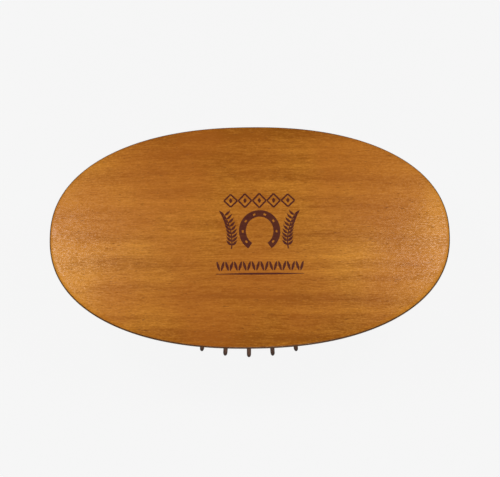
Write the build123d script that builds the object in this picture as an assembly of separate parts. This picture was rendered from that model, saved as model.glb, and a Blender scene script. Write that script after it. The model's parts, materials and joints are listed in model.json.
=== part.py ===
from build123d import *

import os
from math import cos, hypot, pi, radians, sin

# An oval curry brush that is held in the palm: a crowned wooden back with a finger groove round its
# side, a domed rubber cushion set in a recess under it, and round-tipped wooden pins that stand in
# rings through the cushion. Millimetres. +Z is up, the brush stands on its pins, X is its length.

# --- wooden back: an oval |x/a|^p + |y/b|^p = 1, drawn in by an inset at each height
LENGTH = 165.0
WIDTH = 96.0
OVAL_POWER = 2.24
OVAL_POINTS = 48
SIDE_HEIGHT = 12.0
EDGE_RADIUS = 1.0
EDGE_ANGLES = [22, 45, 68]
CROWN = 3.4
CROWN_EDGE_DROP = 0.25
CROWN_INSET = EDGE_RADIUS * 1.15
CROWN_SHARES = [0.98, 0.95, 0.9, 0.83, 0.74, 0.63, 0.52, 0.41, 0.3, 0.19, 0.08]
LIP_INSET = 4.5
LIP_ROUND = 0.8
# (share of the lip's rounding inwards, share of it upwards)
LIP_CURVE = [(1.0, 0.0), (0.25, 0.4), (0.0, 1.4)]
GROOVE_INSET = 5.6
GROOVE_HEIGHT = SIDE_HEIGHT * 0.36
# (share of the groove's inset that is left, share of the side's height above the groove's floor)
GROOVE_CURVE = [(1.0, 0.0), (0.72, 0.25), (0.22, 0.48)]

# --- recess under the back, and the undercut that holds the cushion's bead
RECESS_WALL = 2.8
END_LAND = 26.0
RECESS_DEPTH = 9.5
UNDERCUT_FROM = 1.6
UNDERCUT_HEIGHT = 2.8
UNDERCUT_DEPTH = 1.6

# --- rubber cushion: a dome of height D * (1 - (e * q + (1 - e) * q * q)), q = 1 at its edge
DOME_HEIGHT = 7.0
DOME_EVENNESS = 0.3
MEMBRANE = 1.6
SKIRT = 2.0
SKIRT_HEIGHT = 5.0
CUSHION_CLEARANCE = 0.1
VENT_RADIUS = 0.8
DOME_POINTS = 12

# --- pins: rings of similar ellipses, each pin square to the dome
RING_COUNTS = [30, 24, 18, 12, 6]
RING_NAMES = ["outer", "fourth", "third", "second", "inner"]
RING_STEPS = 2000
OUTER_RING_SHARE = 0.903
OUTER_RING_START = -0.8
PIN_REACH = 20.0
PIN_RADIUS = 1.05
PIN_TIP_RADIUS = 0.9
PIN_TIP_LENGTH = 1.7
HEAD_RADIUS = 2.0
HEAD_THICKNESS = 1.0
HEAD_GAP = 0.35
PIN_CLEARANCE = 0.08

# the pad is as wide as the finger groove's floor, the undercut and the wall between them leave it
PAD_LENGTH = LENGTH - 2 * END_LAND
PAD_WIDTH = WIDTH - 2 * (GROOVE_INSET + RECESS_WALL + UNDERCUT_DEPTH)
PAD_STRETCH = PAD_LENGTH / PAD_WIDTH
RIM_Z = PIN_REACH + DOME_HEIGHT


def oval(inset, z, share=1.0):
    """The back's outline at height z, drawn in by an inset and then scaled by a share."""
    a = (LENGTH / 2 - inset) * share
    b = (WIDTH / 2 - inset) * share
    points = []
    for i in range(OVAL_POINTS):
        c = cos(2 * pi * i / OVAL_POINTS)
        s = sin(2 * pi * i / OVAL_POINTS)
        reach = (abs(c / a) ** OVAL_POWER + abs(s / b) ** OVAL_POWER) ** (-1 / OVAL_POWER)
        points.append((reach * c, reach * s, z))
    return Face(Wire(Spline(*points, periodic=True)))


def side_sections():
    """Insets and heights up the side: lip, finger groove, and the widest line."""
    lip = [(LIP_INSET + LIP_ROUND * inward, LIP_ROUND * up) for inward, up in LIP_CURVE]
    groove = [(GROOVE_INSET * left, GROOVE_HEIGHT + SIDE_HEIGHT * up) for left, up in GROOVE_CURVE]
    return lip + groove + [(0.0, SIDE_HEIGHT)]


def edge_sections():
    """Insets and heights round the top edge, from the widest line to the crown."""
    turns = [radians(angle) for angle in EDGE_ANGLES]
    arc = [(EDGE_RADIUS * (1 - cos(t)), SIDE_HEIGHT + EDGE_RADIUS * sin(t)) for t in turns]
    return arc + [(CROWN_INSET, SIDE_HEIGHT + EDGE_RADIUS)]


def crown_sections():
    """Shares of the crown's outline and their heights, up to its flat middle."""
    base = SIDE_HEIGHT + EDGE_RADIUS + CROWN_EDGE_DROP
    return [(share, base + CROWN * (1 - share**2)) for share in CROWN_SHARES]


def elliptic_turn(profile):
    """A profile in (radius, z), turned about Z and stretched along X to the pad's shape."""
    turned = revolve(Plane.XZ * profile, Axis.Z)
    return scale(turned, by=(PAD_STRETCH, 1, 1))


def recess():
    r = PAD_WIDTH / 2
    top = UNDERCUT_FROM + UNDERCUT_HEIGHT
    well = Polyline(
        (0, -1),
        (r, -1),
        (r, UNDERCUT_FROM),
        (r + UNDERCUT_DEPTH, UNDERCUT_FROM),
        (r + UNDERCUT_DEPTH, top),
        (r, top),
        (r, RECESS_DEPTH),
        (0, RECESS_DEPTH),
        close=True,
    )
    return Pos(0, 0, RIM_Z) * elliptic_turn(make_face(well))


def back():
    sections = [oval(inset, RIM_Z + z) for inset, z in side_sections() + edge_sections()]
    sections += [oval(CROWN_INSET, RIM_Z + z, share) for share, z in crown_sections()]
    return loft(sections) - recess()


def dome_drop(q):
    """How far the dome hangs under the rim at q, its squared share of the way to the edge."""
    return DOME_HEIGHT * (1 - DOME_EVENNESS * q - (1 - DOME_EVENNESS) * q**2)


def dome_slope(q):
    return DOME_HEIGHT * (DOME_EVENNESS + 2 * (1 - DOME_EVENNESS) * q)


def cushion_profile():
    r = PAD_WIDTH / 2 - CUSHION_CLEARANCE
    skirt_r = r - SKIRT
    bead_low = UNDERCUT_FROM + CUSHION_CLEARANCE
    bead_high = UNDERCUT_FROM + UNDERCUT_HEIGHT - CUSHION_CLEARANCE
    outside = []
    inside = []
    for i in range(DOME_POINTS + 1):
        x = r * i / DOME_POINTS
        outside.append((x, -dome_drop((x / r) ** 2)))
        x = skirt_r * i / DOME_POINTS
        q = (x / r) ** 2
        rise = MEMBRANE * hypot(1, dome_slope(q) * 2 * x / r**2)
        inside.append((x, rise - dome_drop(q)))
    walls = Polyline(
        outside[-1],
        (r, bead_low),
        (r + UNDERCUT_DEPTH, bead_low),
        (r + UNDERCUT_DEPTH, bead_high),
        (r, bead_high),
        (r, SKIRT_HEIGHT),
        (skirt_r, SKIRT_HEIGHT),
        inside[-1],
    )
    middle = Line(inside[0], outside[0])
    return make_face([Spline(*outside), *walls.edges(), Spline(*inside), middle])


def ring_places(share, count, start):
    """Points evenly spaced by length along one ring's ellipse, the first at start from its front."""
    a = share * PAD_LENGTH / 2
    b = share * PAD_WIDTH / 2
    walk = [0.0]
    for i in range(RING_STEPS):
        t = 2 * pi * (i + 0.5) / RING_STEPS
        walk.append(walk[-1] + hypot(a * cos(t), b * sin(t)))
    places = []
    for k in range(count):
        target = (walk[-1] * k / count + start) % walk[-1]
        i = next(n for n, length in enumerate(walk) if length >= target)
        t = 2 * pi * (i - (walk[i] - target) / (walk[i] - walk[i - 1])) / RING_STEPS if i else 0.0
        places.append((a * sin(t), -b * cos(t)))
    return places


def stand(x, y):
    """The place on the dome's outer face at x, y, with Z pointing back into the brush."""
    q = (2 * x / PAD_LENGTH) ** 2 + (2 * y / PAD_WIDTH) ** 2
    slope_x = dome_slope(q) * 8 * x / PAD_LENGTH**2
    slope_y = dome_slope(q) * 8 * y / PAD_WIDTH**2
    return Plane(origin=(x, y, RIM_Z - dome_drop(q)), z_dir=(-slope_x, -slope_y, 1))


def pin():
    """One pin, its length along Z, from its round tip to the head behind the membrane."""
    seat = MEMBRANE + HEAD_GAP
    neck = PIN_REACH - PIN_TIP_LENGTH
    tip = Spline((0, -PIN_REACH), (PIN_TIP_RADIUS, -neck), tangents=[(1, 0), (0, 1)])
    side = Polyline(
        (PIN_TIP_RADIUS, -neck),
        (PIN_RADIUS, 0),
        (PIN_RADIUS, seat),
        (HEAD_RADIUS, seat),
        (HEAD_RADIUS, seat + HEAD_THICKNESS),
        (0, seat + HEAD_THICKNESS),
        (0, -PIN_REACH),
    )
    return revolve(Plane.XZ * make_face([tip, *side.edges()]), Axis.Z)


def rings():
    """Each ring's name and its pins' places, from the outer ring in."""
    found = []
    for k, (name, count) in enumerate(zip(RING_NAMES, RING_COUNTS)):
        share = OUTER_RING_SHARE * (1 - k / len(RING_COUNTS))
        start = OUTER_RING_START if name == "outer" else 0.0
        found.append((name, ring_places(share, count, start)))
    return found


def sector(x, y):
    """Front, back, left or right: which quarter of the pad a pin stands in."""
    if abs(x) / PAD_LENGTH < abs(y) / PAD_WIDTH + 1e-6:
        return "front" if y < 0 else "back"
    return "left" if x < 0 else "right"


def cushion(places):
    body = Pos(0, 0, RIM_Z) * elliptic_turn(cushion_profile())
    bit = Cylinder(PIN_RADIUS + PIN_CLEARANCE, 4 * MEMBRANE)
    holes = [stand(x, y) * bit for x, y in places]
    vent_x = OUTER_RING_SHARE * PAD_LENGTH / 2 / len(RING_COUNTS) / 2
    vent = stand(vent_x, 0) * Cylinder(VENT_RADIUS, 4 * MEMBRANE)
    return body - holes - vent


def save(shape, name):
    shape.label = name
    export_step(shape, f"parts/{name}.step")


def main():
    os.makedirs("parts", exist_ok=True)
    one_pin = pin()
    places = [(0.0, 0.0)]
    save(stand(0, 0) * one_pin, "centre_pin")
    for ring_name, ring in rings():
        places += ring
        quarters = {}
        for x, y in ring:
            quarters.setdefault(sector(x, y), []).append(stand(x, y) * one_pin)
        for side_name, pins in quarters.items():
            save(Compound(pins), f"{ring_name}_pins_{side_name}")
    save(cushion(places), "cushion")
    save(back(), "back")


main()
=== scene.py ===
"""An oval wooden curry brush: lacquered back, domed rubber cushion and turned wooden pins."""

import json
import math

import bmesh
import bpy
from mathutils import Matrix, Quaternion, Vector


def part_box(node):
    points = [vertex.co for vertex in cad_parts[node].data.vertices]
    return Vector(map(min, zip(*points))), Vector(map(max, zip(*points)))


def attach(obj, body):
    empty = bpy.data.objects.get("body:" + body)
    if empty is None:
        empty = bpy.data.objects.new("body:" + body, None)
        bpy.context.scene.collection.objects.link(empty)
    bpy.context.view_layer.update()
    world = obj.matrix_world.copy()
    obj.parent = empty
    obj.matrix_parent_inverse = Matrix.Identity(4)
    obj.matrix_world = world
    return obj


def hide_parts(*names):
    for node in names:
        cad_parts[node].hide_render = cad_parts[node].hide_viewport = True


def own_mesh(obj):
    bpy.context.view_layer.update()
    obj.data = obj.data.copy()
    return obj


bl_info = {
    "name": "Oval Curry Brush",
    "version": (1, 0, 0),
    "blender": (4, 5, 0),
    "location": "3D View > Sidebar > Curry Brush",
    "description": "Builds an oval wooden curry brush and the studio it stands in",
    "category": "Object",
}

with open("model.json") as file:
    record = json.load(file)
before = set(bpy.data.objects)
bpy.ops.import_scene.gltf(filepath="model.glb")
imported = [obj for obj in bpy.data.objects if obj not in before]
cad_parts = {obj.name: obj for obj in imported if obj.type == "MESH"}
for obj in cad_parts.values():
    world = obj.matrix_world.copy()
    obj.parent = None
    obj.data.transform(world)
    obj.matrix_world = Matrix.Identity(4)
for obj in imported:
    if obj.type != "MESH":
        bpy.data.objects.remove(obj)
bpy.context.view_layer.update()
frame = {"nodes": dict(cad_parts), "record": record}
BACK_LOW, BACK_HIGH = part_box("back")
CUSHION_LOW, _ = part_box("cushion")
PIN_LOW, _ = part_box("centre_pin")
CLEAR = 0.00002  # the pieces stay this far inside the CAD box
BODIES = frame["record"]["behaviour"]["bodies"]
NODE_BODY = {node: body for body, nodes in BODIES.items() for node in nodes}
# each ring's name, its pins and its level, counted from the middle out
RINGS = (("outer", 30, 5), ("fourth", 24, 4), ("third", 18, 3), ("second", 12, 2), ("inner", 6, 1))
ALL_RINGS = (*RINGS, ("centre", 1, 0))
STATION_FIELDS = ("half_length", "half_width", "oval_power", "height")
MM = 0.001
SEAM = 0.002 * MM  # vertices nearer than this are one
POLE = 1e-5  # a ring this small, as a share of its oval, closes to a point
CROWN_INSET = 1.15  # the crown starts this many edge radii in from the widest line


# --------------------------------------------------------------------------- sizes and colours


def length(name, description, default):
    return bpy.props.FloatProperty(
        name=name, description=description, default=default, unit="LENGTH", precision=5
    )


def number(name, description, default):
    return bpy.props.FloatProperty(name=name, description=description, default=default)


def colour(name, description, default):
    return bpy.props.FloatVectorProperty(
        name=name, description=description, default=default, size=3, subtype="COLOR", min=0, max=1
    )


class CURRY_PG_back(bpy.types.PropertyGroup):
    """Sizes of the wooden back"""

    half_length: length(
        "Half length", "From the middle to either end", min(BACK_HIGH.x, -BACK_LOW.x) - CLEAR
    )
    half_width: length(
        "Half width", "From the middle to either side", min(BACK_HIGH.y, -BACK_LOW.y) - CLEAR
    )
    rim: length("Rim height", "Height of the flat underside", BACK_LOW.z)
    top: length("Top", "Height of the crown's middle", BACK_HIGH.z - 3 * CLEAR)
    oval_power: number("Oval power", "2 is an ellipse, more is squarer", 2.24)
    side_height: length("Side height", "From the underside to the widest line", 0.012)
    edge_radius: length("Edge radius", "Rounding of the top edge", 0.001)
    crown: length("Crown", "Rise of the top face", 0.0034)
    lip_inset: length("Lip inset", "How far in the lower lip stands", 0.0045)
    lip_round: length("Lip rounding", "Rounding of the lower lip", 0.0008)
    groove_inset: length("Groove inset", "Depth of the finger groove", 0.0056)
    recess_depth: length("Recess depth", "Depth of the well under the back", 0.0095)
    around: bpy.props.IntProperty(name="Around", description="Faces round the oval", default=360)


class CURRY_PG_pad(bpy.types.PropertyGroup):
    """Sizes of the cushion and its pins"""

    half_length: length("Half length", "Half the cushion's oval", 0.0565)
    half_width: length("Half width", "Half the cushion's oval", 0.038)
    clearance: length("Clearance", "Gap between the cushion and the well", 0.0001)
    dome: length("Dome", "How far the dome hangs under the rim", BACK_LOW.z - CUSHION_LOW.z)
    evenness: number("Evenness", "1 is a paraboloid, less is flatter in the middle", 0.3)
    membrane: length("Membrane", "Thickness of the rubber", 0.0016)
    outer_share: number("Outer ring", "The outer ring's share of the cushion's oval", 0.903)
    outer_start: length("Outer ring start", "From the front to the outer ring's first pin", -0.0008)
    pin_gap: length("Pin gap", "Room round each pin's neck", 0.00024)
    hole_flare: number("Hole flare", "How fast a pin's hole widens away from the dome's face", 0.35)
    pin_reach: length("Pin reach", "From the dome to a pin's tip", CUSHION_LOW.z - PIN_LOW.z)
    pin_radius: length("Pin radius", "At the dome", 0.00105)
    pin_tip_radius: length("Pin tip radius", "Where the round tip starts", 0.0009)
    collar_radius: length("Collar radius", "Raised rubber round each pin", 0.0024)
    collar_rise: length("Collar rise", "Height of the raised rubber", 0.0005)
    vent_radius: length("Vent radius", "Air hole in the cushion", 0.0008)


class CURRY_PG_finish(bpy.types.PropertyGroup):
    """Colours of the wood, the print and the rubber"""

    wood_light: colour("Light wood", "The palest lacquered wood", (0.83, 0.33, 0.034))
    wood_dark: colour("Dark wood", "The darkest lacquered wood", (0.33, 0.098, 0.005))
    wood_red: colour("Red wood", "Redder streaks in the wood", (0.52, 0.145, 0.016))
    wood_pore: colour("Pores", "Short dark flecks in the wood", (0.20, 0.055, 0.006))
    # painted shade: the colour of the dark band round the widest line, where the edge turns away
    # from the lamps
    wood_edge_shade: colour("Edge", "Dark stain round the widest line", (0.075, 0.036, 0.013))
    pin_light: colour("Light pin", "Brown pins between their fibres", (0.25, 0.115, 0.06))
    pin_dark: colour("Dark pin", "Brown pins in their fibres", (0.07, 0.03, 0.016))
    # partly end grain and partly painted shade: a pin's tip faces down, away from the lamps
    pin_tip: colour("Pin tip", "Dark end grain at a pin's tip", (0.018, 0.008, 0.005))
    print_ink: colour("Print", "The printed ornament", (0.085, 0.011, 0.006))
    rubber: colour("Rubber", "The moulded cushion", (0.022, 0.019, 0.018))
    floor: colour("Floor", "The studio's floor", (0.50, 0.50, 0.50))


class CURRY_PG_studio(bpy.types.PropertyGroup):
    """Camera and lights"""

    elevation: bpy.props.FloatProperty(
        name="Elevation", description="Camera above the horizon", default=math.radians(72),
        subtype="ANGLE",
    )
    roll: bpy.props.FloatProperty(
        name="Roll", description="Turn about the line of sight", default=math.radians(0.65),
        subtype="ANGLE",
    )
    distance: length("Distance", "From the camera to the brush", 0.8245)
    lens: number("Lens", "Focal length in mm", 144.0)
    aim_right: length("Aim right", "How far right of the middle the camera looks", 0.0001)
    aim_down: length("Aim down", "How far under the middle the camera looks", 0.0010)
    paleness: number("Paleness", "How bright the backdrop looks", 0.95)
    sky: number("Sky", "Strength of the light from overhead", 0.05)
    horizon: number("Horizon", "Strength of the light from all sides", 0.32)


# --------------------------------------------------------------------------- node trees


class Bench:
    """Puts nodes in one tree and links them."""

    def __init__(self, tree):
        self.tree = tree

    def node(self, kind, inputs=(), **settings):
        made = self.tree.nodes.new(kind)
        for name, value in settings.items():
            setattr(made, name, value)
        for key, value in dict(inputs).items():
            self.feed(made.inputs[key], value)
        return made

    def feed(self, socket, value):
        if isinstance(value, bpy.types.NodeSocket):
            self.tree.links.new(value, socket)
        else:
            socket.default_value = value

    def math(self, operation, a, b=0.0, c=0.0):
        return self.node("ShaderNodeMath", {0: a, 1: b, 2: c}, operation=operation).outputs[0]

    def clamped(self, value, low, high, to_low=0.0, to_high=1.0):
        spread = {"Value": value, "From Min": low, "From Max": high}
        spread.update({"To Min": to_low, "To Max": to_high})
        return self.node("ShaderNodeMapRange", spread).outputs[0]

    def noise(self, vector, scale, detail, roughness=0.5):
        settings = {"Vector": vector, "Scale": scale, "Detail": detail, "Roughness": roughness}
        return self.node("ShaderNodeTexNoise", settings).outputs["Fac"]

    def moved(self, geometry, place):
        kind = "GeometryNodeSetPosition"
        return self.node(kind, {"Geometry": geometry, "Position": place}).outputs[0]

    def stored(self, geometry, name, value, kind, domain):
        """Keeps a value on the geometry under a name."""
        made = self.node("GeometryNodeStoreNamedAttribute", data_type=kind, domain=domain)
        for key, given in (("Geometry", geometry), ("Name", name), ("Value", value)):
            self.feed(made.inputs[key], given)
        return made.outputs[0]

    def finished(self, geometry, material):
        """Real geometry with one material, the end of every geometry tree."""
        real = self.node("GeometryNodeRealizeInstances", {0: geometry}).outputs[0]
        return self.node("GeometryNodeSetMaterial", {0: real, "Material": material}).outputs[0]

    def xyz(self, x, y, z):
        return self.node("ShaderNodeCombineXYZ", {0: x, 1: y, 2: z}).outputs[0]

    def split(self, vector):
        return self.node("ShaderNodeSeparateXYZ", {0: vector}).outputs

    def mix(self, share, a, b):
        made = self.node("ShaderNodeMix", data_type="RGBA")
        self.feed(made.inputs["Factor"], share)
        for socket, value in zip((made.inputs[6], made.inputs[7]), (a, b)):
            plain = not isinstance(value, bpy.types.NodeSocket)
            self.feed(socket, (*value, 1.0) if plain and len(value) == 3 else value)
        return made.outputs[2]


def sockets(tree, inputs, outputs):
    """Gives a tree its named inputs and outputs: (name, kind) or (name, kind, default)."""
    for name, kind, *default in inputs:
        made = tree.interface.new_socket(name=name, in_out="INPUT", socket_type="NodeSocket" + kind)
        if default:
            made.default_value = default[0]
    for name, kind in outputs:
        tree.interface.new_socket(name=name, in_out="OUTPUT", socket_type="NodeSocket" + kind)
    bench = Bench(tree)
    return bench, bench.node("NodeGroupInput").outputs, bench.node("NodeGroupOutput").inputs


def attribute(bench, name, kind="FLOAT"):
    return bench.node("GeometryNodeInputNamedAttribute", {"Name": name}, data_type=kind).outputs[0]


def oval_turning_tree():
    """Turns a chain of stations into a closed oval body, as a lathe would with an oval chuck.

    Each station is a vertex with a half length, a half width, an oval power and a height.
    """
    tree = bpy.data.node_groups.new("Oval turning", "GeometryNodeTree")
    bench, given, result = sockets(
        tree,
        [
            ("Stations", "Geometry"),
            ("Around", "Int", 360),
            ("Seam", "Float", SEAM),
            ("Material", "Material"),
        ],
        [("Body", "Geometry")],
    )
    stations = given["Stations"]
    size = bench.node("GeometryNodeAttributeDomainSize", {"Geometry": stations})
    count = size.outputs["Point Count"]
    columns = bench.math("ADD", given["Around"], 1)
    grid = bench.node("GeometryNodeMeshGrid", {"Vertices X": count, "Vertices Y": columns})
    index = bench.node("GeometryNodeInputIndex").outputs[0]
    station = bench.math("FLOOR", bench.math("DIVIDE", bench.math("ADD", index, 0.5), columns))
    step = bench.math("SUBTRACT", index, bench.math("MULTIPLY", station, columns))

    def sampled(name):
        sample = bench.node("GeometryNodeSampleIndex", data_type="FLOAT", domain="POINT")
        bench.feed(sample.inputs["Geometry"], stations)
        bench.feed(sample.inputs["Value"], attribute(bench, name))
        bench.feed(sample.inputs["Index"], station)
        return sample.outputs[0]

    a, b, power, height = (sampled(name) for name in STATION_FIELDS)
    angle = bench.math("MULTIPLY", bench.math("DIVIDE", step, given["Around"]), 2 * math.pi)
    c, s = bench.math("COSINE", angle), bench.math("SINE", angle)
    along = bench.math("POWER", bench.math("DIVIDE", bench.math("ABSOLUTE", c), a), power)
    across = bench.math("POWER", bench.math("DIVIDE", bench.math("ABSOLUTE", s), b), power)
    reach = bench.math("POWER", bench.math("ADD", along, across), bench.math("DIVIDE", -1, power))
    place = bench.xyz(bench.math("MULTIPLY", reach, c), bench.math("MULTIPLY", reach, s), height)
    placed = bench.moved(grid.outputs["Mesh"], place)
    merging = {"Geometry": placed, "Distance": given["Seam"]}
    closed = bench.node("GeometryNodeMergeByDistance", merging).outputs[0]
    smooth = bench.node("GeometryNodeSetShadeSmooth", {"Geometry": closed}).outputs[0]
    bench.feed(result["Body"], bench.finished(smooth, given["Material"]))
    return tree


def pin_ring_tree():
    """Stands copies of one object on the dome, evenly spaced round one oval ring, square to it."""
    tree = bpy.data.node_groups.new("Ring on a dome", "GeometryNodeTree")
    bench, given, result = sockets(
        tree,
        [
            ("Geometry", "Geometry"),
            ("Copy", "Object"),
            ("Count", "Int", 6),
            ("Share", "Float", 0.5),
            ("Half length", "Float", 0.05),
            ("Half width", "Float", 0.03),
            ("Dome", "Float", 0.007),
            ("Evenness", "Float", 0.3),
            ("Rim", "Float", 0.027),
            ("Start", "Float", 0.0),
            ("Seed", "Int", 0),
            ("Material", "Material"),
        ],
        [("Pins", "Geometry")],
    )
    steps = 720
    circle = bench.node("GeometryNodeCurvePrimitiveCircle", {"Resolution": steps, "Radius": 1.0})
    index = bench.node("GeometryNodeInputIndex").outputs[0]
    a = bench.math("MULTIPLY", given["Half length"], given["Share"])
    first = bench.math("DIVIDE", given["Start"], bench.math("MAXIMUM", a, 1e-6))
    turn = bench.math("MULTIPLY_ADD", index, 2 * math.pi / steps, first)
    b = bench.math("MULTIPLY", given["Half width"], given["Share"])
    start = bench.xyz(
        bench.math("MULTIPLY", a, bench.math("SINE", turn)),
        bench.math("MULTIPLY", b, bench.math("MULTIPLY", bench.math("COSINE", turn), -1)),
        0.0,
    )
    oval = bench.moved(circle.outputs["Curve"], start)
    spacing = {"Curve": oval, "Count": given["Count"]}
    spaced = bench.node("GeometryNodeResampleCurve", spacing).outputs[0]
    x, y, _ = bench.split(bench.node("GeometryNodeInputPosition").outputs[0])
    far_x = bench.math("DIVIDE", x, given["Half length"])
    far_y = bench.math("DIVIDE", y, given["Half width"])
    q = bench.math("MULTIPLY_ADD", far_x, far_x, bench.math("MULTIPLY", far_y, far_y))
    rest = bench.math("SUBTRACT", 1.0, given["Evenness"])
    # the dome's drop is D * (1 - (e * q + (1 - e) * q * q)), and its slope in q follows from it
    fall = bench.math("MULTIPLY", bench.math("MULTIPLY_ADD", rest, q, given["Evenness"]), q)
    drop = bench.math("MULTIPLY", given["Dome"], bench.math("SUBTRACT", 1.0, fall))
    twice = bench.math("MULTIPLY", rest, 2.0)
    steepness = bench.math("MULTIPLY_ADD", twice, q, given["Evenness"])
    steepness = bench.math("MULTIPLY", given["Dome"], steepness)
    lean_x = bench.math("MULTIPLY", steepness, bench.math("DIVIDE", far_x, given["Half length"]))
    lean_y = bench.math("MULTIPLY", steepness, bench.math("DIVIDE", far_y, given["Half width"]))
    square = bench.xyz(
        bench.math("MULTIPLY", lean_x, -2.0), bench.math("MULTIPLY", lean_y, -2.0), 1.0
    )
    facing = bench.node("FunctionNodeAlignRotationToVector", {"Vector": square}, axis="Z")
    spin = bench.node("FunctionNodeRandomValue", data_type="FLOAT")
    bench.feed(spin.inputs[2], 0.0)
    bench.feed(spin.inputs[3], 2 * math.pi)
    bench.feed(spin.inputs["Seed"], given["Seed"])
    spinning = {"Axis": (0, 0, 1), "Angle": spin.outputs[1]}
    about = bench.node("FunctionNodeAxisAngleToRotation", spinning)
    turned = bench.node("FunctionNodeRotateRotation", rotation_space="LOCAL")
    bench.feed(turned.inputs[0], facing.outputs[0])
    bench.feed(turned.inputs[1], about.outputs[0])
    leaning = bench.stored(spaced, "lean", turned.outputs[0], "QUATERNION", "POINT")
    lifted = bench.moved(leaning, bench.xyz(x, y, bench.math("SUBTRACT", given["Rim"], drop)))
    copy = bench.node("GeometryNodeObjectInfo", {"Object": given["Copy"]}).outputs["Geometry"]
    lean = attribute(bench, "lean", "QUATERNION")
    standing = {"Points": lifted, "Instance": copy, "Rotation": lean}
    stood = bench.node("GeometryNodeInstanceOnPoints", standing).outputs[0]
    tone = bench.node("FunctionNodeRandomValue", data_type="FLOAT")
    bench.feed(tone.inputs["Seed"], bench.math("ADD", given["Seed"], 100))
    toned = bench.stored(stood, "tone", tone.outputs[1], "FLOAT", "INSTANCE")
    bench.feed(result["Pins"], bench.finished(toned, given["Material"]))
    return tree


def node_tree(name, maker):
    return bpy.data.node_groups.get(name) or maker()


def apply_modifier(obj, modifier):
    """Keeps what the modifier makes as the object's mesh, and removes the modifier."""
    depsgraph = bpy.context.evaluated_depsgraph_get()
    evaluated = obj.evaluated_get(depsgraph)
    mesh = bpy.data.meshes.new_from_object(evaluated, depsgraph=depsgraph)
    obj.modifiers.remove(modifier)
    obj.data = mesh


def grow(obj, tree, **values):
    """Runs a geometry tree on an object with the named inputs and keeps the result as its mesh."""
    modifier = obj.modifiers.new(tree.name, "NODES")
    modifier.node_group = tree
    wanted = {key.lower().replace(" ", "_"): value for key, value in values.items()}
    for item in tree.interface.items_tree:
        key = item.name.lower().replace(" ", "_")
        if item.item_type == "SOCKET" and item.in_out == "INPUT" and key in wanted:
            modifier[item.identifier] = wanted.pop(key)
    if wanted:
        raise RuntimeError(f"{tree.name} has no input named {sorted(wanted)}")
    bpy.context.view_layer.update()
    apply_modifier(obj, modifier)
    if not obj.data.polygons:
        raise RuntimeError(f"{tree.name} made nothing for {obj.name}")
    return obj


# --------------------------------------------------------------------------- mesh help


def new_object(name, mesh):
    obj = bpy.data.objects.new(name, mesh)
    bpy.context.scene.collection.objects.link(obj)
    return obj


def station_object(name, stations):
    """A chain of vertices that carries the sizes of each station of an oval turning."""
    mesh = bpy.data.meshes.new(name)
    mesh.from_pydata([(0, 0, s[3]) for s in stations], [], [])
    for column, field in enumerate(STATION_FIELDS):
        layer = mesh.attributes.new(field, "FLOAT", "POINT")
        layer.data.foreach_set("value", [s[column] for s in stations])
    return new_object(name, mesh)


def face_outwards(mesh):
    """Turns every face of a closed mesh to its outside and checks that the mesh is closed."""
    bm = bmesh.new()
    bm.from_mesh(mesh)
    bmesh.ops.recalc_face_normals(bm, faces=bm.faces)
    if bm.calc_volume(signed=True) < 0:
        bmesh.ops.reverse_faces(bm, faces=bm.faces)
    open_edges = sum(1 for e in bm.edges if not e.is_manifold)
    bm.to_mesh(mesh)
    bm.free()
    if open_edges:
        raise RuntimeError(f"{mesh.name} has {open_edges} open edges")


def lathe(name, profile, around):
    """A closed body turned about Z from (radius, height) points that start and end on the axis."""
    bm = bmesh.new()
    uv = bm.loops.layers.uv.new("UVMap")
    rows = []
    for radius, z in profile:
        if radius == 0:
            rows.append([bm.verts.new((0, 0, z))] * around)
            continue
        turn = [2 * math.pi * k / around for k in range(around)]
        rows.append([bm.verts.new((radius * math.cos(t), radius * math.sin(t), z)) for t in turn])
    for low, high in zip(rows, rows[1:]):
        for k in range(around):
            n = (k + 1) % around
            corners = [low[k], low[n], high[n], high[k]]
            columns = [k, k + 1, k + 1, k]
            kept = [i for i, v in enumerate(corners) if v not in corners[:i]]
            face = bm.faces.new([corners[i] for i in kept])
            face.smooth = True
            for loop, i in zip(face.loops, kept):
                loop[uv].uv = (columns[i] / around, corners[i].co.z)
    mesh = bpy.data.meshes.new(name)
    bm.to_mesh(mesh)
    bm.free()
    face_outwards(mesh)
    return new_object(name, mesh)


def coated(obj, material):
    """Gives every face of an object the one material, and drops its other slots."""
    mesh = obj.data
    mesh.materials.clear()
    mesh.materials.append(material)
    mesh.polygons.foreach_set("material_index", [0] * len(mesh.polygons))


def joined(name, objects):
    """One object from several, whose own objects are removed."""
    bm = bmesh.new()
    for obj in objects:
        bm.from_mesh(obj.data)
    mesh = bpy.data.meshes.new(name)
    bm.to_mesh(mesh)
    bm.free()
    for obj in objects:
        bpy.data.objects.remove(obj)
    return new_object(name, mesh)


def round_bar(radius, half_height, flare=0.0):
    """The profile of a round bar for lathe(), which widens by the flare towards both ends."""
    end, half = radius + flare * half_height, half_height
    return [(0, -half), (end, -half), (radius, 0), (end, half), (0, half)]


def carved(obj, operation, tool):
    """Joins a tool to an object or cuts it out, and removes the tool."""
    modifier = obj.modifiers.new("carve", "BOOLEAN")
    modifier.operation, modifier.object, modifier.solver = operation, tool, "MANIFOLD"
    apply_modifier(obj, modifier)
    bpy.data.objects.remove(tool)
    return obj


def curve_through(points, steps):
    """A smooth run of points through the given ones, with steps between each pair (Catmull-Rom)."""
    run = []
    for i in range(len(points) - 1):
        before = points[max(i - 1, 0)]
        start, end = points[i], points[i + 1]
        after = points[min(i + 2, len(points) - 1)]
        for k in range(steps):
            t = k / steps
            place = []
            for a, b, c, d in zip(before, start, end, after):
                bend = 2 * a - 5 * b + 4 * c - d + t * (3 * b - a - 3 * c + d)
                place.append(b + 0.5 * t * (c - a + t * bend))
            run.append(tuple(place))
    run.append(points[-1])
    return run


# --------------------------------------------------------------------------- materials


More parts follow.
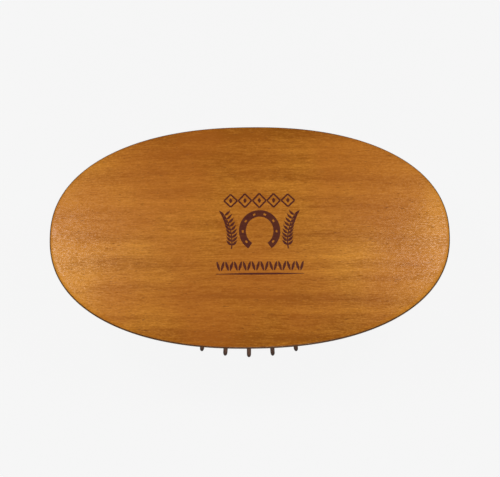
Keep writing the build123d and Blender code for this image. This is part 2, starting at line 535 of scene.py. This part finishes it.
def straight_grain_group():
    """Straight-grained wood along X: soft bands, fine fibres and short pores."""
    tree = bpy.data.node_groups.new("Straight grain", "ShaderNodeTree")
    bench, given, result = sockets(
        tree,
        [
            ("Vector", "Vector"),
            ("Band", "Float", 0.006),
            ("Fibre", "Float", 0.0006),
            ("Pore", "Float", 0.0004),
            ("Waviness", "Float", 0.004),
        ],
        [("Band tone", "Float"), ("Fibre tone", "Float"), ("Pores", "Float"), ("Height", "Float")],
    )
    sway = bench.math("SUBTRACT", bench.noise(given["Vector"], 14.0, 2.0), 0.5)
    drift = bench.math("MULTIPLY", sway, given["Waviness"])
    x, y, z = bench.split(given["Vector"])
    y = bench.math("ADD", y, drift)
    z = bench.math("ADD", z, bench.math("MULTIPLY", drift, 0.5))

    def stretched(size, stretch, detail, roughness=0.5):
        place = bench.xyz(
            bench.math("DIVIDE", x, bench.math("MULTIPLY", size, stretch)),
            bench.math("DIVIDE", y, size),
            bench.math("DIVIDE", z, size),
        )
        return bench.noise(place, 1.0, detail, roughness)

    bands = bench.clamped(stretched(given["Band"], 16.0, 3.0, 0.55), 0.3, 0.7)
    fibres = bench.clamped(stretched(given["Fibre"], 8.0, 3.0, 0.6), 0.3, 0.7)
    pores = bench.clamped(stretched(given["Pore"], 6.0, 1.0), 0.68, 0.76)
    height = bench.math("SUBTRACT", bench.math("MULTIPLY", fibres, 0.5), pores)
    bench.feed(result["Band tone"], bands)
    bench.feed(result["Fibre tone"], fibres)
    bench.feed(result["Pores"], pores)
    bench.feed(result["Height"], height)
    return tree


def fine_grit_group():
    """A fine even grit, for lacquer over open pores and for moulded rubber."""
    tree = bpy.data.node_groups.new("Fine grit", "ShaderNodeTree")
    bench, given, result = sockets(
        tree,
        [("Vector", "Vector"), ("Size", "Float", 0.00046)],
        [("Grit", "Float"), ("Cloud", "Float")],
    )
    scaled = bench.node("ShaderNodeVectorMath", {0: given["Vector"]}, operation="SCALE")
    bench.feed(scaled.inputs["Scale"], bench.math("DIVIDE", 1.0, given["Size"]))
    bench.feed(result["Grit"], bench.noise(scaled.outputs[0], 1.0, 2.0))
    bench.feed(result["Cloud"], bench.noise(scaled.outputs[0], 0.06, 3.0))
    return tree


def blank_material(name, **shader_values):
    """A material with a Principled BSDF whose even values are set on its own sockets."""
    material = bpy.data.materials.new(name)
    material.use_nodes = True
    bench = Bench(material.node_tree)
    shader = material.node_tree.nodes["Principled BSDF"]
    for key, value in shader_values.items():
        shader.inputs[key.replace("_", " ")].default_value = value
    return material, bench, shader


def group(bench, name, maker, **inputs):
    made = bench.node("ShaderNodeGroup", node_tree=node_tree(name, maker))
    for key, value in inputs.items():
        bench.feed(made.inputs[key], value)
    return made.outputs


def object_place(bench):
    return bench.node("ShaderNodeTexCoord").outputs["Object"]


def bumped(bench, shader, height, strength, distance):
    relief = {"Height": height, "Strength": strength, "Distance": distance}
    bench.feed(shader.inputs["Normal"], bench.node("ShaderNodeBump", relief).outputs[0])


def board_tone_with_painted_light(bench, place):
    """How pale the board is by place: darker along both long edges as painted shade, paler at both
    ends as painted sheen, under a random cloudy tone.
    """
    x, y, _ = bench.split(place)
    cloud = bench.noise(place, 22.0, 2.0)
    along = bench.math("POWER", bench.math("DIVIDE", bench.math("ABSOLUTE", x), 0.082), 2.0)
    across = bench.math("POWER", bench.math("DIVIDE", bench.math("ABSOLUTE", y), 0.048), 2.0)
    # painted sheen: paler towards both ends; painted shade: darker towards both long edges
    tone = bench.math("MULTIPLY_ADD", along, 0.60, 0.36)
    tone = bench.math("MULTIPLY_ADD", across, -0.30, tone)
    return bench.math("MULTIPLY_ADD", bench.math("SUBTRACT", cloud, 0.5), 0.35, tone), cloud, along


def painted_edge_shade(bench, place):
    """Painted shade: a dark band round the widest line, where the rounded edge turns away from the
    lamps.
    """
    size = bpy.context.scene.curry_back
    _, _, z = bench.split(place)
    line = size.rim + size.side_height + size.edge_radius * 0.12
    off = bench.math("ABSOLUTE", bench.math("SUBTRACT", z, line))
    return bench.clamped(off, size.edge_radius * 0.6, size.edge_radius * 0.8, 0.9, 0.0)


def wood_material(finish):
    """Amber lacquer over fine straight-grained wood."""
    material, bench, shader = blank_material(
        "amber_lacquered_wood", Coat_Roughness=0.26, Coat_IOR=1.5, Specular_IOR_Level=0.1
    )
    place = object_place(bench)
    grain = group(bench, "Straight grain", straight_grain_group, Vector=place)
    x, y, z = bench.split(place)
    drawn_out = bench.xyz(bench.math("MULTIPLY", x, 0.45), y, z)
    grit = group(bench, "Fine grit", fine_grit_group, Vector=drawn_out)
    # the board's tone carries painted sheen at both ends and painted shade along both long edges
    tone, cloud, along = board_tone_with_painted_light(bench, place)
    # painted sparkle: the grit flecks lighten the base colour more towards both ends, standing in
    # for glints of the lamps there
    painted_sparkle_gain = bench.clamped(along, 0.05, 0.75, 1.0, 1.7)
    raised = bench.math("MAXIMUM", bench.math("SUBTRACT", grit["Grit"], 0.5), -0.06)
    flecks = bench.math("MULTIPLY", raised, painted_sparkle_gain)
    tone = bench.math("MULTIPLY_ADD", bench.math("SUBTRACT", grain["Band tone"], 0.5), 0.50, tone)
    tone = bench.math("MULTIPLY_ADD", bench.math("SUBTRACT", grain["Fibre tone"], 0.5), 0.42, tone)
    tone = bench.math("MULTIPLY_ADD", flecks, 1.0, tone)
    wood = bench.mix(bench.clamped(tone, 0.0, 1.0), finish.wood_dark, finish.wood_light)
    wood = bench.mix(bench.clamped(cloud, 0.4, 0.62, 0.45, 0.0), wood, finish.wood_red)
    wood = bench.mix(bench.math("MULTIPLY", grain["Pores"], 0.6), wood, finish.wood_pore)
    # painted shade round the widest line
    wood = bench.mix(painted_edge_shade(bench, place), wood, finish.wood_edge_shade)
    bench.feed(shader.inputs["Base Color"], wood)
    bench.feed(shader.inputs["Roughness"], bench.clamped(grit["Grit"], 0.3, 0.7, 0.34, 0.52))
    gloss = bench.math("MULTIPLY_ADD", grain["Fibre tone"], 0.12, flecks)
    bench.feed(shader.inputs["Coat Weight"], bench.clamped(gloss, -0.06, 0.46, 0.0, 0.8))
    relief = bench.math("MULTIPLY_ADD", grit["Grit"], 1.2, grain["Height"])
    bumped(bench, shader, relief, 0.5, 0.0001)
    return material


def pin_material(finish):
    """Brown turned pins, with fibres along each pin and every pin a little different."""
    material, bench, shader = blank_material(
        "brown_pin_wood", Coat_Weight=0.8, Coat_Roughness=0.2, Specular_IOR_Level=0.45
    )
    uv = bench.node("ShaderNodeUVMap", uv_map="UVMap").outputs[0]
    own = bench.node("ShaderNodeAttribute", attribute_name="tone").outputs["Fac"]
    u, v, _ = bench.split(uv)
    turn = bench.math("MULTIPLY", u, 2 * math.pi)
    side = bench.math("MULTIPLY", bench.math("COSINE", turn), MM)
    front = bench.math("MULTIPLY", bench.math("SINE", turn), MM)
    around = bench.xyz(v, side, bench.math("ADD", front, bench.math("MULTIPLY", own, 0.3)))
    grain = group(
        bench, "Straight grain", straight_grain_group, Vector=around, Band=0.0012, Fibre=0.0003,
        Pore=0.0003, Waviness=0.0,
    )
    tone = bench.math("MULTIPLY", own, 0.4)
    tone = bench.math("MULTIPLY_ADD", grain["Fibre tone"], 0.6, tone)
    wood = bench.mix(tone, finish.pin_dark, finish.pin_light)
    wood = bench.mix(bench.math("MULTIPLY", grain["Pores"], 0.6), wood, finish.pin_dark)
    low = bpy.context.scene.curry_pad.pin_reach
    # darker towards each pin's tip: partly end grain, partly painted shade where the tip faces down
    # from the lamps
    tip_grain_and_painted_shade = bench.clamped(v, 0.0008 - low, 0.0028 - low, 0.85, 0.0)
    bench.feed(shader.inputs["Base Color"], bench.mix(tip_grain_and_painted_shade, wood, finish.pin_tip))
    bench.feed(shader.inputs["Roughness"], bench.clamped(grain["Fibre tone"], 0.0, 1.0, 0.36, 0.5))
    bumped(bench, shader, grain["Height"], 0.3, 0.00005)
    return material


def rubber_material(finish):
    """Matt moulded rubber with a light bloom."""
    material, bench, shader = blank_material("moulded_rubber", Specular_IOR_Level=0.35)
    grit = group(bench, "Fine grit", fine_grit_group, Vector=object_place(bench), Size=0.0003)
    bloom = tuple(c * 1.9 + 0.006 for c in finish.rubber)
    rubber = bench.mix(bench.clamped(grit["Cloud"], 0.35, 0.7), finish.rubber, bloom)
    bench.feed(shader.inputs["Base Color"], rubber)
    bench.feed(shader.inputs["Roughness"], bench.clamped(grit["Cloud"], 0.3, 0.7, 0.55, 0.72))
    bumped(bench, shader, grit["Grit"], 0.25, 0.00004)
    return material


def print_material(finish):
    """Maroon ink sunk in the wood, a little uneven along the grain."""
    material, bench, shader = blank_material(
        "maroon_print", Coat_Weight=0.3, Coat_Roughness=0.3, Specular_IOR_Level=0.12, Roughness=0.5
    )
    grain = group(bench, "Straight grain", straight_grain_group, Vector=object_place(bench))
    worn = bench.math("MULTIPLY", grain["Fibre tone"], 0.16)
    bench.feed(shader.inputs["Base Color"], bench.mix(worn, finish.print_ink, finish.wood_dark))
    bumped(bench, shader, grain["Height"], 0.25, 0.00008)
    return material


def floor_material(finish):
    """A pale floor that hardly darkens under the brush and throws little light back."""
    material, bench, shader = blank_material("pale_floor", Roughness=0.9, Specular_IOR_Level=0.1)
    grit = group(bench, "Fine grit", fine_grit_group, Vector=object_place(bench), Size=0.01)
    paler = tuple(min(1.0, c * 1.02) for c in finish.floor)
    bench.feed(shader.inputs["Base Color"], bench.mix(grit["Cloud"], finish.floor, paler))
    pale = bpy.context.scene.curry_studio.paleness
    glow = bench.node("ShaderNodeEmission", {"Color": (1, 1, 1, 1), "Strength": pale})
    seen = bench.math("MULTIPLY", bench.node("ShaderNodeLightPath").outputs["Is Camera Ray"], 0.95)
    both = bench.node("ShaderNodeMixShader", {0: seen, 1: shader.outputs[0], 2: glow.outputs[0]})
    bench.feed(material.node_tree.nodes["Material Output"].inputs["Surface"], both.outputs[0])
    return material


def material(name, maker):
    return bpy.data.materials.get(name) or maker(bpy.context.scene.curry_finish)


# --------------------------------------------------------------------------- the back


def crown_height(size, x, y):
    """Height of the back's top face at x, y."""
    inner = size.edge_radius * CROWN_INSET
    a, b = size.half_length - inner, size.half_width - inner
    share = (abs(x / a) ** size.oval_power + abs(y / b) ** size.oval_power) ** (1 / size.oval_power)
    return size.top - size.crown * share**2


def back_stations(size, pad):
    """The back's stations, from the top's middle over the edge and under to the recess's floor."""

    def inset(d, z, share=1.0):
        a, b = (size.half_length - d) * share, (size.half_width - d) * share
        return (a, b, size.oval_power, size.rim + z)

    def pad_oval(grow_by, z):
        return (pad.half_length + grow_by, pad.half_width + grow_by, 2.0, size.rim + z)

    inner = size.edge_radius * CROWN_INSET
    crown_top = size.top - size.rim
    first, steps = 0.02, 60
    shares = [POLE] + [first + (1 - 2 * first) * i / steps for i in range(steps + 1)]
    stations = [inset(inner, crown_top - size.crown * s**2, s) for s in shares]
    edge = [(inner, crown_top - size.crown)]
    for degrees in range(72, 0, -12):
        t = math.radians(degrees)
        rise = size.edge_radius * math.sin(t)
        edge.append((size.edge_radius * (1 - math.cos(t)), size.side_height + rise))
    stations += [inset(d, z) for d, z in edge]
    groove = size.side_height * 0.36
    # (how far in, how high), from the widest line down the finger groove to the underside
    side = [
        (0.0, size.side_height),
        (size.groove_inset * 0.22, groove + size.side_height * 0.48),
        (size.groove_inset * 0.72, groove + size.side_height * 0.25),
        (size.groove_inset, groove),
        (size.lip_inset, size.lip_round * 1.4),
        (size.lip_inset + size.lip_round * 0.25, size.lip_round * 0.4),
        (size.lip_inset + size.lip_round, 0.0),
    ]
    stations += [inset(max(d, 0.0), max(z, 0.0)) for d, z in curve_through(side, 8)]
    stations += [inset(size.lip_inset + size.lip_round + 0.2 * MM, 0.0)]
    # the recess: (how far outside the cushion's oval, how high), over its softened edge
    mouth = [(0.6, 0.0), (0.4, 0.0), (0.1, 0.2), (0.0, 0.5)]
    stations += [pad_oval(out * MM, up * MM) for out, up in mouth]
    stations += [pad_oval(0.0, size.recess_depth - MM), pad_oval(-MM, size.recess_depth)]
    floor = size.rim + size.recess_depth
    stations.append((POLE * pad.half_length, POLE * pad.half_width, 2.0, floor))
    return stations


def make_back(context):
    size, pad = context.scene.curry_back, context.scene.curry_pad
    back = station_object("wooden_back", back_stations(size, pad))
    tree = node_tree("Oval turning", oval_turning_tree)
    wood = material("amber_lacquered_wood", wood_material)
    grow(back, tree, around=size.around, seam=SEAM, material=wood)
    coated(back, wood)
    face_outwards(back.data)
    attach(back, "back")
    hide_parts("back")


# --------------------------------------------------------------------------- the printed ornament


def ribbon(points, widths):
    """Corner points of a flat band along a line: one (left, right) pair at each point."""
    pairs = []
    for i, (x, y) in enumerate(points):
        ax, ay = points[max(i - 1, 0)]
        bx, by = points[min(i + 1, len(points) - 1)]
        run = math.hypot(bx - ax, by - ay) or 1.0
        nx, ny = -(by - ay) / run, (bx - ax) / run
        w = widths[i] / 2
        pairs.append(((x + nx * w, y + ny * w), (x - nx * w, y - ny * w)))
    return pairs


def arc(cx, cy, rx, ry, start, end, steps):
    turns = [math.radians(start + (end - start) * i / steps) for i in range(steps + 1)]
    return [(cx + rx * math.cos(t), cy + ry * math.sin(t)) for t in turns]


def sprig(side):
    """A curved oat stem with paired leaves, on the left or the right of the horseshoe."""
    stem = [(side * (11.4 + 0.06 * (t - 2) ** 2), -8.3 + 1.62 * t) for t in range(10)]
    bands = [(stem, [0.55 - 0.03 * i for i in range(10)])]
    for x, y in stem[1:]:
        for lean in (-1, 1):
            leaf = [(x + lean * 2.3 * k / 8, y + 2.2 * (k / 8) ** 1.5) for k in range(9)]
            widths = [1.05 * math.sin(math.pi * min(0.97, k / 8 + 0.03)) for k in range(9)]
            bands.append((leaf, widths))
    return bands


def horseshoe():
    """Two rims with a nailed groove between them, open at the heels."""
    start, end, steps = 236, -56, 72
    rims = ((7.9, 8.45, 1.2), (6.1, 6.65, 0.9))
    bands = [(arc(0, -0.7, rx, ry, start, end, steps), [w] * (steps + 1)) for rx, ry, w in rims]
    holes, half_hole = 8, 0.12
    ends = [start]
    for k in range(holes):
        for side in (-half_hole, half_hole):
            ends.append(start + (end - start) * (k + 0.5 + side) / holes)
    for low, high in zip(ends[0::2], [*ends[1::2], end]):
        bands.append((arc(0, -0.7, 6.95, 7.5, low, high, 12), [1.2] * 13))
    return bands


def lozenge_row():
    """Five open lozenges with a seed in each."""
    bands = []
    for k in range(-2, 3):
        x, y, w, h = 5.9 * k, 12.6, 2.75, 3.2 - 0.2 * abs(k)
        corners = [(x - w, y), (x, y + h), (x + w, y), (x, y - h), (x - w, y)]
        for start, end in zip(corners, corners[1:]):
            side = [tuple(a + (b - a) * i / 4 for a, b in zip(start, end)) for i in range(5)]
            bands.append((side, [0.7] * 5))
        seed = [(x, y - 1.1 + 2.2 * i / 8) for i in range(9)]
        bands.append((seed, [1.3 * math.sin(math.pi * i / 8) + 0.04 for i in range(9)]))
    return bands


def herringbone():
    """A row of slanting strokes over a thin rule."""
    bands = []
    for k in range(20):
        x, lean = -17.1 + 1.8 * k, 1 if k % 2 else -1
        stroke = [(x + lean * 0.55 * (i - 4) / 4, -15.6 + 1.9 * (i - 4) / 4) for i in range(9)]
        bands.append((stroke, [1.1 * math.sin(math.pi * (i + 1) / 10) for i in range(9)]))
    rule = [(-18 + 36 * i / 24, -18.9) for i in range(25)]
    bands.append((rule, [0.2 + 0.6 * math.sin(math.pi * i / 24) for i in range(25)]))
    return bands


def ornament_bands():
    """The ornament's bands in millimetres, from the lozenges down to the herringbone."""
    return lozenge_row() + horseshoe() + sprig(-1) + sprig(1) + herringbone()


def make_print(context):
    """Lays the ornament on the crown as a thin closed skin of ink."""
    size = context.scene.curry_back
    ink, sunk, shift = 0.00003, 0.00008, Vector((0.0041, 0.0014))
    bm = bmesh.new()
    for points, widths in ornament_bands():
        rows = []
        for pair in ribbon(points, widths):
            row = []
            for px, py in pair:
                x, y = px * 0.001 + shift.x, py * 0.001 + shift.y
                z = crown_height(size, x, y)
                row.append((bm.verts.new((x, y, z + ink)), bm.verts.new((x, y, z - sunk))))
            rows.append(row)
        for (l0, r0), (l1, r1) in zip(rows, rows[1:]):
            bm.faces.new((l0[0], l1[0], r1[0], r0[0]))
            bm.faces.new((l0[1], r0[1], r1[1], l1[1]))
            bm.faces.new((l0[0], l0[1], l1[1], l1[0]))
            bm.faces.new((r0[0], r1[0], r1[1], r0[1]))
        for left, right in (rows[0], rows[-1]):
            bm.faces.new((left[0], right[0], right[1], left[1]))
    mesh = bpy.data.meshes.new("printed_ornament")
    bm.to_mesh(mesh)
    bm.free()
    face_outwards(mesh)
    mesh.materials.append(material("maroon_print", print_material))
    ornament = new_object("printed_ornament", mesh)
    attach(ornament, "back")


# --------------------------------------------------------------------------- the cushion


def dome_drop(pad, q):
    return pad.dome * (1 - pad.evenness * q - (1 - pad.evenness) * q * q)


def cushion_stations(size, pad):
    """From the dome's lowest point out to the rim, up the skirt and back over the inside."""
    a, b = pad.half_length - pad.clearance, pad.half_width - pad.clearance

    def share(s, rise=0.0):
        return (a * s, b * s, 2.0, size.rim - dome_drop(pad, s * s) + rise)

    def wider(out, up):
        return (a + out * MM, b + out * MM, 2.0, size.rim + up * MM)

    outer_steps, inner_steps, skirt, skirt_top = 48, 24, 2.0, 5.0
    stations = [share(s) for s in [POLE] + [i / outer_steps for i in range(1, outer_steps + 1)]]
    # (how far outside the rim, how high) over the bead that holds the cushion in the recess
    bead = [(0.0, 0.6), (0.0, 1.7), (1.6, 1.9), (1.6, 4.1), (0.0, 4.3)]
    bead += [(0.0, skirt_top), (-skirt, skirt_top)]
    stations += [wider(out, up) for out, up in bead]
    inside = 1 - skirt * MM / b
    for s in [inside - i * inside / inner_steps for i in range(inner_steps)] + [POLE]:
        slope = 2 * pad.dome * (pad.evenness + 2 * (1 - pad.evenness) * s * s) * s / b
        stations.append(share(s, pad.membrane * math.hypot(1, slope)))
    return stations


def ring_values(context, level):
    size, pad = context.scene.curry_back, context.scene.curry_pad
    return {
        "start": pad.outer_start if level == len(RINGS) else 0.0,
        "share": pad.outer_share * level / len(RINGS),
        "half_length": pad.half_length,
        "half_width": pad.half_width,
        "dome": pad.dome,
        "evenness": pad.evenness,
        "rim": size.rim,
    }


def make_cushion(context):
    size, pad = context.scene.curry_back, context.scene.curry_pad
    rubber = material("moulded_rubber", rubber_material)
    tree = node_tree("Ring on a dome", pin_ring_tree)
    dome = station_object("cushion_dome", cushion_stations(size, pad))
    turning = node_tree("Oval turning", oval_turning_tree)
    grow(dome, turning, around=200, seam=SEAM, material=rubber)
    face_outwards(dome.data)
    rise, rim = pad.collar_rise, pad.collar_radius
    button = lathe(
        "collar",
        [(0, -rise), (rim * 0.62, -rise), (rim * 0.78, -rise * 0.86), (rim * 0.9, -rise * 0.5),
         (rim, 0.1 * MM), (rim, 0.6 * MM), (0, 0.6 * MM)],
        24,
    )
    bore, through = pad.pin_radius + pad.pin_gap, pad.membrane * 2
    drill = lathe("drill", round_bar(bore, through, pad.hole_flare), 20)
    collars, holes = [], []
    for name, count, level in ALL_RINGS:
        for kind, copy, kept in (("collars", button, collars), ("holes", drill, holes)):
            ring = new_object(f"{kind}_{name}", bpy.data.meshes.new(f"{kind}_{name}"))
            values = ring_values(context, level)
            grow(ring, tree, copy=copy, count=count, seed=level, material=rubber, **values)
            kept.append(ring)
    vent = lathe("vent", round_bar(pad.vent_radius, through), 16)
    half_pitch = pad.half_length * pad.outer_share / len(RINGS) / 2
    vent.data.transform(Matrix.Translation((half_pitch, 0, size.rim - pad.dome)))
    cushion = carved(dome, "UNION", joined("collars", collars))
    cushion = carved(cushion, "DIFFERENCE", joined("holes", [*holes, vent]))
    cushion.name = "rubber_cushion"
    coated(cushion, rubber)
    for spare in (button, drill):
        bpy.data.objects.remove(spare)
    cushion.data.polygons.foreach_set("use_smooth", [True] * len(cushion.data.polygons))
    cushion.data.set_sharp_from_angle(angle=math.radians(40))
    face_outwards(cushion.data)
    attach(cushion, NODE_BODY["cushion"])
    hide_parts("cushion")
    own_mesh(cushion)


# --------------------------------------------------------------------------- the pins


def pin_profile(pad):
    """A turned pin: round tip, slow taper, neck through the rubber and a flat head behind it."""
    tip, head_gap = 1.7 * MM, 0.35 * MM
    neck = pad.pin_reach - tip
    profile = [(0, -pad.pin_reach)]
    for degrees in (18, 38, 60):
        t = math.radians(degrees)
        profile.append((pad.pin_tip_radius * math.sin(t), -neck - tip * math.cos(t)))
    profile += [(pad.pin_tip_radius, -neck), (pad.pin_tip_radius * 1.06, -neck * 0.6)]
    seat = pad.membrane + head_gap
    profile += [(pad.pin_radius, 0), (pad.pin_radius, seat)]
    # (radius, height over the seat) round the head's softened edges
    head = [(1.8, 0.0), (2.0, 0.2), (2.0, 0.8), (1.8, 1.0), (0.0, 1.0)]
    return profile + [(radius * MM, seat + up * MM) for radius, up in head]


def make_pins(context):
    pad = context.scene.curry_pad
    template = lathe("pin_template", pin_profile(pad), 18)
    tree = node_tree("Ring on a dome", pin_ring_tree)
    wood = material("brown_pin_wood", pin_material)
    by_body = {}
    for name, count, level in ALL_RINGS:
        nodes = [node for node in frame["nodes"] if node.startswith(f"{name}_pin")]
        ring = new_object(f"{name}_pins", bpy.data.meshes.new(f"{name}_pins"))
        grow(ring, tree, copy=template, count=count, seed=10 + level, material=wood,
             **ring_values(context, level))
        by_body.setdefault(NODE_BODY[nodes[0]], []).append((ring, nodes))
    bpy.data.objects.remove(template)
    for body, found in by_body.items():
        pins = found[0][0]
        if len(found) > 1:
            pins = joined(f"pins_{body}", [ring for ring, _ in found])
        pins.name = f"turned_{body}" if body.endswith("pins") else f"turned_pins_{body}"
        coated(pins, wood)
        pins.data.polygons.foreach_set("use_smooth", [True] * len(pins.data.polygons))
        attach(pins, body)
        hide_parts(*(n for _, nodes in found for n in nodes))


# --------------------------------------------------------------------------- the studio


def soft_light(name, place, aim, size, power):
    lamp = bpy.data.lights.new(name, "AREA")
    lamp.shape = "RECTANGLE"
    lamp.size, lamp.size_y = size
    lamp.energy = power
    obj = new_object(name, lamp)
    obj.location = place
    obj.rotation_euler = (Vector(aim) - Vector(place)).to_track_quat("-Z", "Y").to_euler()
    return obj


def make_studio(context):
    scene = context.scene
    studio, size = scene.curry_studio, scene.curry_back
    mesh = bpy.data.meshes.new("studio_floor")
    reach = 6.0
    corners = [(x * reach, y * reach, 0) for x, y in ((-1, -1), (1, -1), (1, 1), (-1, 1))]
    mesh.from_pydata(corners, [], [(0, 1, 2, 3)])
    mesh.materials.append(material("pale_floor", floor_material))
    new_object("studio_floor", mesh)

    widest = Vector((0, 0, size.rim + size.side_height))
    back = Vector((0, -math.cos(studio.elevation), math.sin(studio.elevation)))
    up = Vector((0, math.sin(studio.elevation), math.cos(studio.elevation)))
    aim = widest + Vector((studio.aim_right, 0, 0)) - up * studio.aim_down
    lens = bpy.data.cameras.new("studio_camera")
    lens.lens = studio.lens
    lens.sensor_width = 36.0
    camera = new_object("studio_camera", lens)
    camera.location = aim + back * studio.distance
    turned = (-back).to_track_quat("-Z", "Y") @ Quaternion((0, 0, 1), -studio.roll)
    camera.rotation_euler = turned.to_euler()
    scene.camera = camera

    soft_light("left_softbox", (-0.31, 0.15, 0.53), (-0.02, 0, 0.04), (0.16, 0.24), 1.34)
    soft_light("right_softbox", (0.29, 0.14, 0.54), (0.02, 0, 0.04), (0.16, 0.24), 1.20)
    soft_light("front_softbox", (0.05, -0.80, 0.36), (0, 0, 0.03), (0.3, 0.3), 2.2)

    world = bpy.data.worlds.new("studio_world")
    world.use_nodes = True
    bench = Bench(world.node_tree)
    seen = bench.node("ShaderNodeLightPath").outputs["Is Camera Ray"]
    background = world.node_tree.nodes["Background"]
    background.inputs[0].default_value = (1, 1, 1, 1)
    _, _, rise = bench.split(bench.node("ShaderNodeTexCoord").outputs["Generated"])
    light = bench.clamped(rise, 0.15, 0.65, studio.horizon, studio.sky)
    bench.feed(background.inputs[1], bench.clamped(seen, 0.0, 1.0, light, studio.paleness))
    scene.world = world
    scene.view_settings.view_transform = "Standard"


# --------------------------------------------------------------------------- operators and panel


class CURRY_OT_studio(bpy.types.Operator):
    """Builds the floor, the lights and the camera"""

    bl_idname = "curry.studio"
    bl_label = "Studio"

    def execute(self, context):
        make_studio(context)
        return {"FINISHED"}


class CURRY_OT_back(bpy.types.Operator):
    """Builds the lacquered wooden back"""

    bl_idname = "curry.back"
    bl_label = "Wooden Back"

    def execute(self, context):
        make_back(context)
        return {"FINISHED"}


class CURRY_OT_print(bpy.types.Operator):
    """Lays the printed ornament on the back"""

    bl_idname = "curry.print"
    bl_label = "Printed Ornament"

    def execute(self, context):
        make_print(context)
        return {"FINISHED"}


class CURRY_OT_cushion(bpy.types.Operator):
    """Builds the domed rubber cushion"""

    bl_idname = "curry.cushion"
    bl_label = "Rubber Cushion"

    def execute(self, context):
        make_cushion(context)
        return {"FINISHED"}


class CURRY_OT_pins(bpy.types.Operator):
    """Stands the turned wooden pins in the cushion"""

    bl_idname = "curry.pins"
    bl_label = "Wooden Pins"

    def execute(self, context):
        make_pins(context)
        return {"FINISHED"}


OPERATORS = (CURRY_OT_studio, CURRY_OT_back, CURRY_OT_print, CURRY_OT_cushion, CURRY_OT_pins)
GROUPS = {
    "curry_back": CURRY_PG_back,
    "curry_pad": CURRY_PG_pad,
    "curry_finish": CURRY_PG_finish,
    "curry_studio": CURRY_PG_studio,
}


class CURRY_PT_panel(bpy.types.Panel):
    """Lists the brush's pieces and their sizes"""

    bl_idname = "CURRY_PT_panel"
    bl_label = "Curry Brush"
    bl_space_type = "VIEW_3D"
    bl_region_type = "UI"
    bl_category = "Curry Brush"

    def draw(self, context):
        layout = self.layout
        for operator in OPERATORS:
            layout.operator(operator.bl_idname)
        for name, kind in GROUPS.items():
            box = layout.box()
            box.label(text=kind.__doc__)
            for field in kind.__annotations__:
                box.prop(getattr(context.scene, name), field)


def register():
    for kind in (*GROUPS.values(), *OPERATORS, CURRY_PT_panel):
        bpy.utils.register_class(kind)
    for name, kind in GROUPS.items():
        setattr(bpy.types.Scene, name, bpy.props.PointerProperty(type=kind))


def unregister():
    for name in GROUPS:
        delattr(bpy.types.Scene, name)
    for kind in reversed((*GROUPS.values(), *OPERATORS, CURRY_PT_panel)):
        bpy.utils.unregister_class(kind)


def main():
    register()
    bpy.ops.curry.studio()
    bpy.ops.curry.back()
    bpy.ops.curry.print()
    bpy.ops.curry.cushion()
    bpy.ops.curry.pins()


if __name__ == "__main__":
    main()
